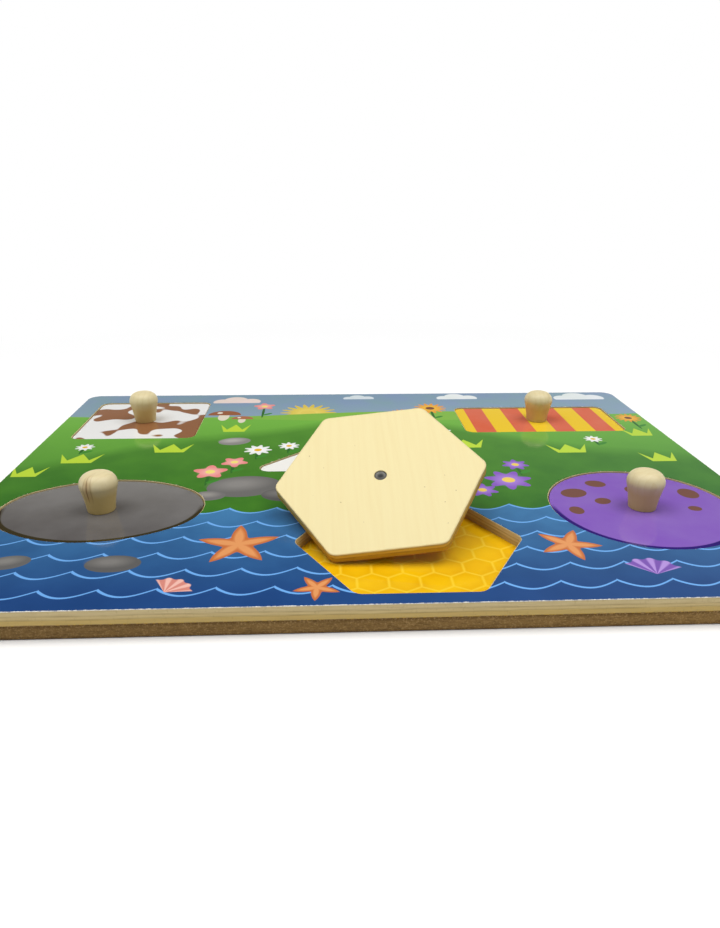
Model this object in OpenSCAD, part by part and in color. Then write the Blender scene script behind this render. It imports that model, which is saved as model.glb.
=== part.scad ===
// Peg puzzle: a picture board with six shaped recesses, and a knobbed piece for each of them.
// Five pieces sit in their recesses. The hexagon is out: it leans in its recess, back upwards.
// Origin at the middle of the underside, X to the right, Y to the rear, Z up. Millimetres.

/* [Board] */
// Width of the board, left to right
board_w = 300; // [280:1:360]
// Depth of the board, front to rear
board_d = 222; // [216:1:280]
// Radius of the board's corners
board_corner_r = 6.5; // [2:0.5:12]
// Thickness of the fibreboard backing
backing_t = 4.7; // [3:0.1:8]
// Thickness of the plywood frame that holds the cut-outs
frame_t = 4.6; // [4:0.1:5]
// Thickness of every printed sheet
sheet_t = 0.2; // [0.1:0.05:0.3]

/* [Pieces] */
// Thickness of a piece's plywood plate
plate_t = 4; // [3:0.1:4.3]
// Gap between a piece and the wall of its recess, all round
seat_gap = 0.4; // [0.3:0.05:0.6]
// Radius of the corners of the hexagon, square, rectangle and triangle
piece_corner_r = 4; // [2:0.5:6]

/* [Peg] */
// Height of the peg
peg_h = 15.1; // [14:0.1:20]
// Diameter of the peg's foot
peg_foot_d = 10.2; // [8:0.1:11]
// Largest diameter of the peg's head
peg_head_d = 14; // [12:0.1:17]
// Radius that rounds the peg's head
peg_head_round_r = 4.4; // [3:0.1:5.5]

/* [Nail] */
// Diameter of the nail's shank
nail_d = 2.4; // [1.8:0.1:3]
// Length of the nail, from the outside of its head to the tip
nail_l = 12; // [9:0.5:14]
// Diameter of the nail's head
nail_head_d = 4.5; // [3.6:0.1:6]
// Thickness of the nail's head
nail_head_t = 0.9; // [0.6:0.1:1.4]
// How far the head lies below the back of the plate
nail_sink = 0.15; // [0.05:0.05:0.4]
// Radial gap round the nail in the plate and the peg
nail_gap = 0.05; // [0.02:0.01:0.1]

/* [Oval] */
// Length of the oval, left to right
oval_l = 75.6; // [70:0.2:84]
// Width of the oval, front to rear
oval_w = 54.4; // [50:0.2:62]
// Radius of the oval's two ends
oval_end_r = 21.5; // [18:0.5:24]
// From the board's left edge to the oval
oval_side_margin = 10.6; // [8:0.1:16]
// From the board's front edge to the oval
oval_front_margin = 42.8; // [36:0.1:50]

/* [Circle] */
// Diameter of the circle
circle_d = 69.2; // [62:0.2:76]
// From the board's right edge to the circle
circle_side_margin = 11.1; // [8:0.1:16]
// From the board's front edge to the circle
circle_front_margin = 30.4; // [24:0.1:40]

/* [Hexagon] */
// Width of the hexagon across its flats
hexagon_flats = 68.2; // [62:0.2:72]
// Middle of the hexagon, to the right of the board's middle
hexagon_x = 11.7; // [0:0.1:16]
// From the board's front edge to the hexagon
hexagon_front_margin = 6.4; // [5:0.1:10]
// Angle at which the hexagon lies back from level, rear side up
lean_pitch = 24.5; // [23:0.1:26]
// Angle at which the hexagon drops to its left
lean_roll = 6.7; // [4:0.1:8]
// Angle that the hexagon is turned clockwise, seen from above
lean_turn = 1.4; // [0:0.1:4]
// How far the hexagon lies to the left of the middle of its recess
lean_left = 8.6; // [6:0.1:10]
// Gap between the leaning hexagon and what it rests on
lean_gap = 0.3; // [0.2:0.05:0.6]

/* [Square] */
// Side of the square
square_side = 58; // [52:0.2:66]
// From the board's left edge to the square
square_side_margin = 11.4; // [7:0.1:16]
// From the board's rear edge to the square
square_rear_margin = 14.8; // [7:0.1:20]

/* [Rectangle] */
// Length of the rectangle, left to right
rectangle_l = 80; // [70:0.2:92]
// Width of the rectangle, front to rear
rectangle_w = 40; // [34:0.2:50]
// From the board's right edge to the rectangle
rectangle_side_margin = 16.7; // [7:0.1:20]
// From the board's rear edge to the rectangle
rectangle_rear_margin = 28.8; // [7:0.1:34]

/* [Triangle] */
// Length of the triangle's front side, measured as if its corners were sharp
triangle_l = 93; // [84:0.2:98]
// Width of the triangle from its front side to its peak, measured the same way
triangle_w = 46.5; // [40:0.1:54]
// Middle of the triangle, to the left of the board's middle
triangle_left = 4; // [0:0.1:8]
// Front side of the triangle, to the front of the board's middle
triangle_front = 5.7; // [2:0.1:10]

/* [Hidden] */
SHAPES = ["oval", "circle", "hexagon", "square", "rectangle", "triangle"];
$fn = 96;
// How far a cut runs past the surface that it opens
overrun = 1;

// Heights of the layers of the board
floor_z = backing_t + sheet_t;
frame_top_z = floor_z + frame_t;

// Radius of the circle that fits in the triangle; its middle counts as the triangle's
triangle_inner_r = triangle_l * triangle_w / (triangle_l + 2 * norm([triangle_l / 2, triangle_w]));

// Middle of each shape, from the middle of the board
oval_place = [oval_side_margin + (oval_l - board_w) / 2, oval_front_margin + (oval_w - board_d) / 2];
circle_place = [(board_w - circle_d) / 2 - circle_side_margin, circle_front_margin + (circle_d - board_d) / 2];
hexagon_place = [hexagon_x, hexagon_front_margin + (hexagon_flats - board_d) / 2];
square_place = [square_side_margin + (square_side - board_w) / 2, (board_d - square_side) / 2 - square_rear_margin];
rectangle_place = [(board_w - rectangle_l) / 2 - rectangle_side_margin,
    (board_d - rectangle_w) / 2 - rectangle_rear_margin];
triangle_place = [-triangle_left, triangle_inner_r - triangle_front];
PLACES = [oval_place, circle_place, hexagon_place, square_place, rectangle_place, triangle_place];

// Where a shape stands in the lists of places and colours
function shape_index(shape) = search([shape], SHAPES)[0];

// Colour of each shape's printed face
PRINT_COLOURS = ["#777470", "#8452b8", "#e8b21c", "#ececea", "#e0763c", "#f4f2ea"];

// Corners of a rectangle, counted round from the front left
function rectangle_corners(l, w) = [[-l, -w] / 2, [l, -w] / 2, [l, w] / 2, [-l, w] / 2];

// Corners of a triangle with two equal sides about the middle of the circle in it, counted round from the front left
function triangle_corners(l, w, inner_r) = [[-l / 2, -inner_r], [l / 2, -inner_r], [0, w - inner_r]];

// Corners of a regular polygon of a given inner radius, counted round from the turn's direction
function regular_corners(sides, inner_r, turn) = [for (i = [0:sides - 1])
    inner_r / cos(180 / sides) * [cos(turn + i * 360 / sides), sin(turn + i * 360 / sides)]];

// Both ends of every straight side of an outline whose corners are rounded about the given centres
function side_ends(centres, r) = [for (i = [0:len(centres) - 1])
    let (from = centres[i], to = centres[(i + 1) % len(centres)], run = (to - from) / norm(to - from))
    for (end = [from, to]) end + r * [run.y, -run.x]];

// The centres about which the corners of the four straight-sided shapes and the board are rounded
hexagon_centres = regular_corners(6, hexagon_flats / 2 - piece_corner_r, 0);
square_centres = rectangle_corners(square_side - 2 * piece_corner_r, square_side - 2 * piece_corner_r);
rectangle_centres = rectangle_corners(rectangle_l - 2 * piece_corner_r, rectangle_w - 2 * piece_corner_r);
triangle_centres = (1 - piece_corner_r / triangle_inner_r) * triangle_corners(triangle_l, triangle_w, triangle_inner_r);
board_centres = rectangle_corners(board_w - 2 * board_corner_r, board_d - 2 * board_corner_r);

// The oval is drawn with four arcs: two at its ends and two flatter ones along its sides
oval_end_x = oval_l / 2 - oval_end_r;
oval_step = oval_w / 2 - oval_end_r;
oval_side_y = (oval_end_x * oval_end_x - oval_step * oval_step) / (2 * oval_step);
oval_side_r = oval_side_y + oval_w / 2;

// The peg's straight flank runs from its foot to where it meets the rounding of the head
peg_round_centre = [peg_head_d / 2 - peg_head_round_r, peg_h - peg_head_round_r];
peg_flank = [peg_foot_d / 2, 0] - peg_round_centre;
peg_meet_angle = atan2(peg_flank.y, peg_flank.x) + acos(peg_head_round_r / norm(peg_flank));
peg_meet = peg_round_centre + peg_head_round_r * [cos(peg_meet_angle), sin(peg_meet_angle)];

// The nail stands in the plate, the print and the peg, in a bore that runs a little past its tip
nail_bore_d = nail_d + 2 * nail_gap;
nail_seat_d = nail_head_d + 2 * nail_gap;
nail_seat_z = nail_sink + nail_head_t;
nail_tip_z = nail_sink + nail_l;
face_z = plate_t + sheet_t;
peg_bore_depth = nail_tip_z - face_z + nail_gap;

// The leaning hexagon rests on the recess floor with its peg's head and its lowest corner,
// and its peg's head lies against the rear wall of the recess
lean_level_share = cos(lean_pitch) * cos(lean_roll);
lean_slope_share = sqrt(1 - lean_level_share * lean_level_share);
lean_arm = face_z + peg_round_centre.y;
head_drop = lean_arm * lean_level_share + peg_round_centre.x * lean_slope_share + peg_head_round_r;
corner_heights = [for (c = hexagon_centres) c.x * sin(lean_roll) + c.y * cos(lean_roll) * sin(lean_pitch)];
corner_drop = face_z * lean_level_share - min(corner_heights) + piece_corner_r * lean_slope_share;
hexagon_rear_wall_y = hexagon_place.y + hexagon_flats / 2 + seat_gap;
head_reach = lean_arm * sin(lean_pitch) + peg_round_centre.x * cos(lean_pitch) + peg_head_round_r;
lean_place = [hexagon_place.x - lean_left, hexagon_rear_wall_y - head_reach - lean_gap,
    floor_z + lean_gap + max(head_drop, corner_drop)];

// An outline with straight sides, whose corners are rounded about the given centres
module rounded_outline(centres, r) {
    polygon(side_ends(centres, r));
    polygon(centres);
    for (c = centres) translate(c) circle(r);
}

// The oval's outline, grown all round
module oval_outline(grow) {
    side_r = oval_side_r + grow;
    meet_x = side_r * oval_end_x / norm([oval_end_x, oval_side_y]);
    for (side = [-1, 1]) translate([side * oval_end_x, 0]) circle(oval_end_r + grow);
    intersection() {
        translate([0, oval_side_y]) circle(side_r);
        translate([0, -oval_side_y]) circle(side_r);
        square([2 * meet_x, oval_w + 2 * grow], center = true);
    }
}

// A shape's outline about its own middle, grown all round
module shape_outline(shape, grow) {
    corner_r = piece_corner_r + grow;
    if (shape == "oval") oval_outline(grow);
    if (shape == "circle") circle(circle_d / 2 + grow);
    if (shape == "hexagon") rounded_outline(hexagon_centres, corner_r);
    if (shape == "square") rounded_outline(square_centres, corner_r);
    if (shape == "rectangle") rounded_outline(rectangle_centres, corner_r);
    if (shape == "triangle") rounded_outline(triangle_centres, corner_r);
}

// A full layer of the board, from one height up by its thickness
module board_layer(z, thickness) {
    translate([0, 0, z]) linear_extrude(thickness) rounded_outline(board_centres, board_corner_r);
}

// A layer of the board with the six recesses cut through it
module cut_layer(z, thickness) {
    difference() {
        board_layer(z, thickness);
        for (shape = SHAPES) translate(concat(PLACES[shape_index(shape)], z - overrun))
            linear_extrude(thickness + 2 * overrun) shape_outline(shape, seat_gap);
    }
}

// Puts a piece, drawn back down about its own middle, where it rests
module at_rest(shape) {
    if (shape == "hexagon")
        translate(lean_place) rotate([lean_pitch, -lean_roll, -lean_turn]) rotate([180, 0, 0]) children();
    else
        translate(concat(PLACES[shape_index(shape)], floor_z)) children();
}

// Fibreboard backing that closes the recesses from below
module backing_board() {
    color("#75592f") board_layer(0, backing_t);
}

// Printed sheet on the backing, seen at the bottom of an empty recess
module floor_sheet() {
    color("#f0b800") board_layer(backing_t, sheet_t);
}

// Plywood frame with the six cut-outs
module frame_board() {
    color("#c4ad7c") cut_layer(floor_z, frame_t);
}

// Printed picture on the top of the frame
module picture_sheet() {
    color("#4f8a34") cut_layer(frame_top_z, sheet_t);
}

// Plywood plate of a piece, drilled for the nail, with a seat for its head in the back
module plate(shape) {
    color("#eedca6") at_rest(shape) difference() {
        linear_extrude(plate_t) shape_outline(shape, 0);
        translate([0, 0, -overrun]) cylinder(h = plate_t + 2 * overrun, d = nail_bore_d);
        translate([0, 0, -overrun]) cylinder(h = nail_seat_z + overrun, d = nail_seat_d);
    }
}

// Printed sheet on the face of a piece
module print_sheet(shape) {
    color(PRINT_COLOURS[shape_index(shape)]) at_rest(shape) difference() {
        translate([0, 0, plate_t]) linear_extrude(sheet_t) shape_outline(shape, 0);
        translate([0, 0, plate_t - overrun]) cylinder(h = sheet_t + 2 * overrun, d = nail_bore_d);
    }
}

// Turned wooden peg, bored from below for the nail
module peg(shape) {
    color("#d8c490") at_rest(shape) translate([0, 0, face_z]) difference() {
        rotate_extrude() {
            polygon([[0, 0], [peg_foot_d / 2, 0], peg_meet, [peg_round_centre.x, peg_h], [0, peg_h]]);
            intersection() {
                translate(peg_round_centre) circle(peg_head_round_r);
                square([peg_head_d / 2, peg_h]);
            }
        }
        translate([0, 0, -overrun]) cylinder(h = peg_bore_depth + overrun, d = nail_bore_d);
    }
}

// Steel nail that holds the peg to the plate
module nail(shape) {
    color("#5b6068") at_rest(shape) translate([0, 0, nail_sink]) {
        cylinder(h = nail_head_t, d = nail_head_d);
        cylinder(h = nail_l, d = nail_d);
    }
}

backing_board();
floor_sheet();
frame_board();
picture_sheet();
for (shape = SHAPES) {
    plate(shape);
    print_sheet(shape);
    peg(shape);
    nail(shape);
}
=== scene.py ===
"""Dresses a wooden peg puzzle: a printed picture board with six recesses, and a knobbed piece for each.

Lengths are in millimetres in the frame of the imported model, and become metres when a mesh is made.
"""

import logging
import math
from dataclasses import dataclass
from enum import Enum
from typing import Any, Optional, Sequence, Union

import bpy
from mathutils import Euler, Matrix, Vector
from mathutils.geometry import delaunay_2d_cdt


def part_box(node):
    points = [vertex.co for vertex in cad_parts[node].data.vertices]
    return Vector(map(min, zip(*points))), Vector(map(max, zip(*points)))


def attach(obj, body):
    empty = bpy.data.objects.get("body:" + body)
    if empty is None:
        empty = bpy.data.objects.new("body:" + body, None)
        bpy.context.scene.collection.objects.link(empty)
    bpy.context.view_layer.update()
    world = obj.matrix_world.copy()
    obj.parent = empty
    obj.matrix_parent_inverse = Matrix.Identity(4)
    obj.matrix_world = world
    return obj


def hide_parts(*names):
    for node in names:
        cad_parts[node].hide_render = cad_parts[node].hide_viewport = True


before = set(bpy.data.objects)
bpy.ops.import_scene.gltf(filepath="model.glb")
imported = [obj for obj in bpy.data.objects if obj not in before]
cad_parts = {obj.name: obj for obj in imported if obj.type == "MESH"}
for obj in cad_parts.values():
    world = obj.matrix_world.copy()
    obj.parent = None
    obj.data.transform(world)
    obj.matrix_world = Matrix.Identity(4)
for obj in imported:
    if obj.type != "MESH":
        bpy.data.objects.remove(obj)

LOG = logging.getLogger("peg_puzzle")
MM = 0.001
PER_MM = 1000.0
# Width of the strip inside a sheet's edge over which its rim mark fades
RIM_WIDTH = 2.2
# How many short sides round off an edge, and the sharpest turn that is shaded as a curve, in degrees
EASE_STEPS = 3
SMOOTH_ANGLE = 40

Point = tuple[float, float]
Loop = list[Point]
Colour = tuple[float, float, float, float]
Number = Union["Sock", float]


class Shape(Enum):
    """The six shapes of the puzzle, by the name that their nodes and bodies start with."""

    OVAL = "oval"
    CIRCLE = "circle"
    HEXAGON = "hexagon"
    SQUARE = "square"
    RECTANGLE = "rectangle"
    TRIANGLE = "triangle"


def tint(code: str) -> Colour:
    """Turns a written colour into the linear one that a shader takes.

    Args:
        code: the colour as six hexadecimal digits after a hash.

    Returns:
        Linear red, green, blue and an alpha of 1.
    """
    linear = []
    for start in (1, 3, 5):
        share = int(code[start:start + 2], 16) / 255
        linear.append(share / 12.92 if share <= 0.04045 else ((share + 0.055) / 1.055) ** 2.4)
    return (linear[0], linear[1], linear[2], 1.0)


# Shader maths


class Sock:
    """A value in a shader that takes part in Python arithmetic and adds the Math nodes for it."""

    def __init__(self, paint: "Paint", socket: bpy.types.NodeSocket) -> None:
        """Holds an output socket and the paint that it belongs to."""
        self.paint = paint
        self.socket = socket

    def __add__(self, other: Number) -> "Sock":
        """Sum."""
        return self.paint.math("ADD", self, other)

    __radd__ = __add__

    def __sub__(self, other: Number) -> "Sock":
        """Difference."""
        return self.paint.math("SUBTRACT", self, other)

    def __rsub__(self, other: Number) -> "Sock":
        """Difference from a number."""
        return self.paint.math("SUBTRACT", other, self)

    def __mul__(self, other: Number) -> "Sock":
        """Product."""
        return self.paint.math("MULTIPLY", self, other)

    __rmul__ = __mul__

    def __truediv__(self, other: Number) -> "Sock":
        """Quotient."""
        return self.paint.math("DIVIDE", self, other)

    def __rtruediv__(self, other: Number) -> "Sock":
        """Quotient of a number."""
        return self.paint.math("DIVIDE", other, self)

    def __pow__(self, power: Number) -> "Sock":
        """Power."""
        return self.paint.math("POWER", self, power)

    def __rpow__(self, base: Number) -> "Sock":
        """Power of a number."""
        return self.paint.math("POWER", base, self)

    def __neg__(self) -> "Sock":
        """Opposite."""
        return self.paint.math("MULTIPLY", self, -1.0)

    def __abs__(self) -> "Sock":
        """Distance from nought."""
        return self.paint.math("ABSOLUTE", self)

    def rise(self, start: float, end: float) -> "Sock":
        """Share of the way from one number to another, held between 0 and 1."""
        gain = 1 / (end - start)
        return self.paint.math("MULTIPLY_ADD", self, gain, -start * gain, clamp=True)


class Paint:
    """Adds nodes to one shader tree."""

    MEASURES = ("LENGTH", "DISTANCE", "DOT_PRODUCT")
    # The rim marks between which a face turns into a side
    SIDE_MARKS = (0.9, 0.99)

    def __init__(self, tree: bpy.types.NodeTree, home: Optional[Matrix] = None) -> None:
        """Starts an empty tree.

        Args:
            tree: the shader tree.
            home: where a piece that was drawn about its own middle was put.
        """
        tree.nodes.clear()
        self.tree = tree
        self.home = home

    def node(self, kind: str, settings: Optional[dict[str, Any]] = None,
             sockets: Optional[dict[Union[str, int], Any]] = None) -> bpy.types.Node:
        """Adds one node.

        Args:
            kind: the node's type.
            settings: its own settings, set before its sockets.
            sockets: values or links by the input's name or number.

        Returns:
            The new node.
        """
        made = self.tree.nodes.new(kind)
        for name, value in (settings or {}).items():
            setattr(made, name, value)
        for key, value in (sockets or {}).items():
            if isinstance(value, Sock):
                self.tree.links.new(value.socket, made.inputs[key])
            else:
                made.inputs[key].default_value = value
        return made

    def sock(self, made: bpy.types.Node, output: Union[str, int] = 0) -> Sock:
        """One output of a node."""
        return Sock(self, made.outputs[output])

    def math(self, operation: str, *values: Number, clamp: bool = False) -> Sock:
        """One step of arithmetic on values."""
        settings = {"operation": operation, "use_clamp": clamp}
        return self.sock(self.node("ShaderNodeMath", settings, dict(enumerate(values))))

    def vector(self, operation: str, *values: Any) -> Sock:
        """One step of arithmetic on vectors; a length, distance or dot product gives a value."""
        made = self.node("ShaderNodeVectorMath", {"operation": operation}, dict(enumerate(values)))
        return self.sock(made, "Value" if operation in self.MEASURES else "Vector")

    def mix(self, share: Number, first: Any, second: Any) -> Sock:
        """A blend of two colours."""
        made = self.node("ShaderNodeMix", {"data_type": "RGBA"}, {0: share, 6: first, 7: second})
        return self.sock(made, 2)

    def split(self, vector: Sock) -> tuple[Sock, Sock, Sock]:
        """The three parts of a vector."""
        made = self.node("ShaderNodeSeparateXYZ", sockets={0: vector})
        return self.sock(made, 0), self.sock(made, 1), self.sock(made, 2)

    def noise(self, grains: Sequence[float], detail: float = 2.0, roughness: float = 0.5,
              shift: Sequence[float] = (0, 0, 0)) -> Sock:
        """Soft noise about a half.

        Args:
            grains: how many grains go to a millimetre along each axis.
            detail: how many finer layers it has.
            roughness: how strong those are.
            shift: where in the noise the piece lies.

        Returns:
            The noise, from 0 to 1.
        """
        return self.sock(self.node("ShaderNodeTexNoise", sockets={
            "Vector": self.place(grains, shift), "Scale": 1.0, "Detail": detail, "Roughness": roughness}))

    def place(self, scale: Sequence[float] = (1, 1, 1), shift: Sequence[float] = (0, 0, 0)) -> Sock:
        """The place on the piece in its own millimetres, stretched and shifted.

        Args:
            scale: the stretch along each axis.
            shift: what is added to the stretched place.

        Returns:
            The place, for a texture or for vector maths.
        """
        at = self.sock(self.node("ShaderNodeTexCoord"), "Object")
        if self.home is not None:
            at = self.sock(self.node("ShaderNodeMapping", {"vector_type": "TEXTURE"}, {
                "Vector": at, "Location": self.home.to_translation(), "Rotation": self.home.to_euler()}))
        return self.sock(self.node("ShaderNodeMapping", {"vector_type": "POINT"}, {
            "Vector": at, "Location": tuple(shift), "Scale": tuple(PER_MM * part for part in scale)}))

    def rim(self) -> Sock:
        """The mesh's own mark: 1 on sides and edges, fading to 0 a little way in on the faces."""
        return self.sock(self.node("ShaderNodeAttribute", {"attribute_name": "rim"}), "Fac")

    def side(self) -> Sock:
        """1 on sides and edges, and 0 on the faces."""
        return self.rim().rise(*self.SIDE_MARKS)

    def seen(self) -> tuple[Sock, Sock]:
        """Tells how a point is seen.

        Returns:
            1 for what the camera sees straight on, and 1 for what it sees in gloss or through glass.
        """
        rays = self.node("ShaderNodeLightPath")
        gloss, glass = self.sock(rays, "Is Glossy Ray"), self.sock(rays, "Is Transmission Ray")
        return self.sock(rays, "Is Camera Ray"), self.math("MAXIMUM", gloss, glass)

    def surface(self, colour: Any, roughness: Number, height: Optional[Sock] = None,
                depth: float = 0.1, **fixed: float) -> None:
        """Ends a material in one glossy or dull surface.

        Args:
            colour: its colour, fixed or varying.
            roughness: its roughness, fixed or varying.
            height: what stands proud of it, from 0 to 1.
            depth: how far that stands proud, in millimetres.
            fixed: other sockets of the shader, with underscores for spaces.
        """
        sockets: dict[Union[str, int], Any] = {"Base Color": colour, "Roughness": roughness}
        sockets.update({name.replace("_", " "): value for name, value in fixed.items()})
        if height is not None:
            sockets["Normal"] = self.sock(self.node("ShaderNodeBump", sockets={
                "Strength": 1.0, "Distance": depth * MM, "Height": height}))
        shader = self.sock(self.node("ShaderNodeBsdfPrincipled", sockets=sockets))
        self.node("ShaderNodeOutputMaterial", sockets={"Surface": shader})


# Flat drawing, for the printed sheets


class Canvas:
    """A flat drawing in millimetres, painted layer over layer; distances are negative inside a shape."""

    EDGE = 0.16

    def __init__(self, paint: Paint, ground: str) -> None:
        """Starts with one colour all over.

        Args:
            paint: the paint of the material.
            ground: the written colour.
        """
        self.paint = paint
        self.at = paint.vector("MULTIPLY", paint.place(), (1, 1, 0))
        self.x, self.y, _ = paint.split(self.at)
        self.colour: Any = tint(ground)

    def noise(self, scale: float, detail: float = 2.0, roughness: float = 0.5) -> Sock:
        """Soft noise over the drawing, at a number of grains per millimetre."""
        return self.paint.noise((scale, scale, 0), detail, roughness)

    def lay(self, distance: Sock, colour: Any, soft: float = EDGE, strength: float = 1.0) -> None:
        """Paints inside a distance.

        Args:
            distance: how far a point lies outside the shape.
            colour: a written colour or a varying one.
            soft: width of the shape's soft edge.
            strength: how strongly it covers what is below.
        """
        paint = self.paint
        share = paint.math("MULTIPLY_ADD", distance, -1 / soft, 0.5, clamp=True)
        if strength < 1:
            share = share * strength
        self.colour = paint.mix(share, self.colour, tint(colour) if isinstance(colour, str) else colour)

    def disc(self, x: float, y: float, radius: float) -> Sock:
        """Distance to a disc."""
        return self.paint.vector("DISTANCE", self.at, (x, y, 0)) - radius

    def egg(self, x: float, y: float, half_length: float, half_width: float, turn: float = 0.0) -> Sock:
        """Distance to an ellipse.

        Args:
            x: its middle from the left.
            y: its middle from the front.
            half_length: its reach along the turned first axis.
            half_width: its reach across that.
            turn: how far it is turned, in degrees.

        Returns:
            The distance, negative inside.
        """
        paint, least = self.paint, min(half_length, half_width)
        if not turn:
            scaled = paint.vector("MULTIPLY_ADD", self.at, (1 / half_length, 1 / half_width, 0),
                                  (-x / half_length, -y / half_width, 0))
            return paint.math("MULTIPLY_ADD", paint.vector("LENGTH", scaled), least, -least)
        c, s = math.cos(math.radians(turn)), math.sin(math.radians(turn))
        along = paint.vector("DOT_PRODUCT", self.at, (c / half_length, s / half_length, 0))
        along = along - (x * c + y * s) / half_length
        across = paint.vector("DOT_PRODUCT", self.at, (-s / half_width, c / half_width, 0))
        across = across - (y * c - x * s) / half_width
        reach = paint.math("SQRT", paint.math("MULTIPLY_ADD", along, along, across * across))
        return paint.math("MULTIPLY_ADD", reach, least, -least)

    def polar(self, x: float, y: float) -> tuple[Sock, Sock]:
        """Measures from a point.

        Args:
            x: the point from the left.
            y: the point from the front.

        Returns:
            The distance from it, and the direction in radians.
        """
        here = self.paint.vector("SUBTRACT", self.at, (x, y, 0))
        east, north, _ = self.paint.split(here)
        return self.paint.vector("LENGTH", here), self.paint.math("ARCTAN2", north, east)

    def turned(self, way: Sock, rate: float, turn: float) -> Sock:
        """A direction counted from one in degrees, times a rate."""
        return self.paint.math("MULTIPLY_ADD", way, rate, -math.radians(turn) * rate)

    def lobes(self, x: float, y: float, radius: float, count: int, depth: float, turn: float = 0.0) -> Sock:
        """Distance to a round shape with soft lobes, such as petals.

        Args:
            x: its middle from the left.
            y: its middle from the front.
            radius: its reach at a lobe.
            count: how many lobes it has.
            depth: half the depth between them, as a share of the radius.
            turn: how far it is turned, in degrees.

        Returns:
            The distance, negative inside.
        """
        reach, way = self.polar(x, y)
        wave = self.paint.math("COSINE", self.turned(way, count, turn))
        return reach - self.paint.math("MULTIPLY_ADD", wave, radius * depth, radius * (1 - depth))

    def spikes(self, x: float, y: float, radius: float, count: int, inner: float,
               turn: float = 0.0) -> Sock:
        """Distance to a star with pointed arms.

        Args:
            x: its middle from the left.
            y: its middle from the front.
            radius: its reach at an arm.
            count: how many arms it has.
            inner: its reach between them, as a share of the radius.
            turn: how far it is turned, in degrees.

        Returns:
            The distance, negative inside.
        """
        reach, way = self.polar(x, y)
        notch = abs(self.paint.math("SINE", self.turned(way, count / 2, turn)))
        return reach - self.paint.math("MULTIPLY_ADD", notch, radius * (inner - 1), radius)

    def union(self, *distances: Sock) -> Sock:
        """Distance to several shapes together.

        Args:
            distances: the distance to each.

        Returns:
            The distance, negative inside any of them.
        """
        joined = distances[0]
        for distance in distances[1:]:
            joined = self.paint.math("MINIMUM", joined, distance)
        return joined

    def overlap(self, first: Sock, second: Sock) -> Sock:
        """Distance to what two shapes share."""
        return self.paint.math("MAXIMUM", first, second)

    def cells(self, flats: float, shift: Point = (0, 0)) -> Sock:
        """Measures a honeycomb whose cells have upright sides.

        Args:
            flats: a cell's width across its flats.
            shift: how far it is shifted, in cells.

        Returns:
            The distance from the nearest wall.
        """
        paint, tall = self.paint, math.sqrt(3)
        reaches = []
        for start in (0.0, 0.5):
            scaled = paint.vector("MULTIPLY_ADD", self.at, (1 / flats, 1 / flats / tall, 0),
                                  (shift[0] + start, shift[1] + start, 0))
            within = paint.vector("MULTIPLY_ADD", paint.vector("FRACTION", scaled), (1, tall, 0),
                                  (-0.5, -tall / 2, 0))
            away = paint.vector("ABSOLUTE", within)
            slant = paint.vector("DOT_PRODUCT", away, (0.5, tall / 2, 0))
            upright = paint.vector("DOT_PRODUCT", away, (1, 0, 0))
            reaches.append(paint.math("MAXIMUM", slant, upright))
        nearest = paint.math("MINIMUM", *reaches)
        return paint.math("MULTIPLY_ADD", nearest, -flats, flats / 2)


@dataclass(frozen=True)
class Motif:
    """Something small in the picture, at a place in the board's frame."""

    x: float
    y: float

    def draw(self, canvas: Canvas) -> None:
        """Paints it; each kind has its own way."""
        raise NotImplementedError


@dataclass(frozen=True)
class Bloom(Motif):
    """A flower with round petals, a soft glow and a heart, on a stem or without one."""

    radius: float
    colour: str
    glow: str
    heart: str
    petals: int = 6
    turn: float = 0.0
    stem: float = 0.0

    STEM_COLOUR = "#2f6a22"
    STEM_HALF_WIDTH = 0.7
    LEAF_COLOUR = "#3f8a2a"
    LEAF_HALVES = (3.0, 1.1)
    LEAF_TURN = 35
    LEAF_ASIDE = 2.4
    # How far down the stem the leaf stands, as a share of it
    LEAF_DOWN = 0.7
    # Shares of the radius
    PETAL_DEPTH = 0.2
    GLOW_SIZE = 0.5
    GLOW_SOFT = 0.55
    HEART_SIZE = 0.27

    def draw(self, canvas: Canvas) -> None:
        """Paints the stem, the petals and the heart.

        Args:
            canvas: the drawing that it goes on.
        """
        if self.stem:
            half = self.stem / 2
            canvas.lay(canvas.egg(self.x, self.y - half, self.STEM_HALF_WIDTH, half), self.STEM_COLOUR)
            leaf_y = self.y - self.stem * self.LEAF_DOWN
            leaf = canvas.egg(self.x + self.LEAF_ASIDE, leaf_y, *self.LEAF_HALVES, self.LEAF_TURN)
            canvas.lay(leaf, self.LEAF_COLOUR)
        petals = canvas.lobes(self.x, self.y, self.radius, self.petals, self.PETAL_DEPTH, self.turn)
        canvas.lay(petals, self.colour)
        glow = canvas.disc(self.x, self.y, self.radius * self.GLOW_SIZE)
        canvas.lay(glow, self.glow, self.radius * self.GLOW_SOFT)
        canvas.lay(canvas.disc(self.x, self.y, self.radius * self.HEART_SIZE), self.heart)


@dataclass(frozen=True)
class Stone(Motif):
    """A rounded stone with light on its upper side."""

    half_length: float
    half_width: float
    colour: str
    light: str
    turn: float = 0.0

    # All as shares of the stone's half length and half width
    LIGHT_PLACE = (-0.16, 0.24)
    LIGHT_SIZE = (0.6, 0.5)
    LIGHT_SOFT = 0.6

    def draw(self, canvas: Canvas) -> None:
        """Paints the stone and its light.

        Args:
            canvas: the drawing that it goes on.
        """
        length, width = self.half_length, self.half_width
        canvas.lay(canvas.egg(self.x, self.y, length, width, self.turn), self.colour)
        x, y = self.x + length * self.LIGHT_PLACE[0], self.y + width * self.LIGHT_PLACE[1]
        light = canvas.egg(x, y, length * self.LIGHT_SIZE[0], width * self.LIGHT_SIZE[1], self.turn)
        canvas.lay(light, self.light, width * self.LIGHT_SOFT)


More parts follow.
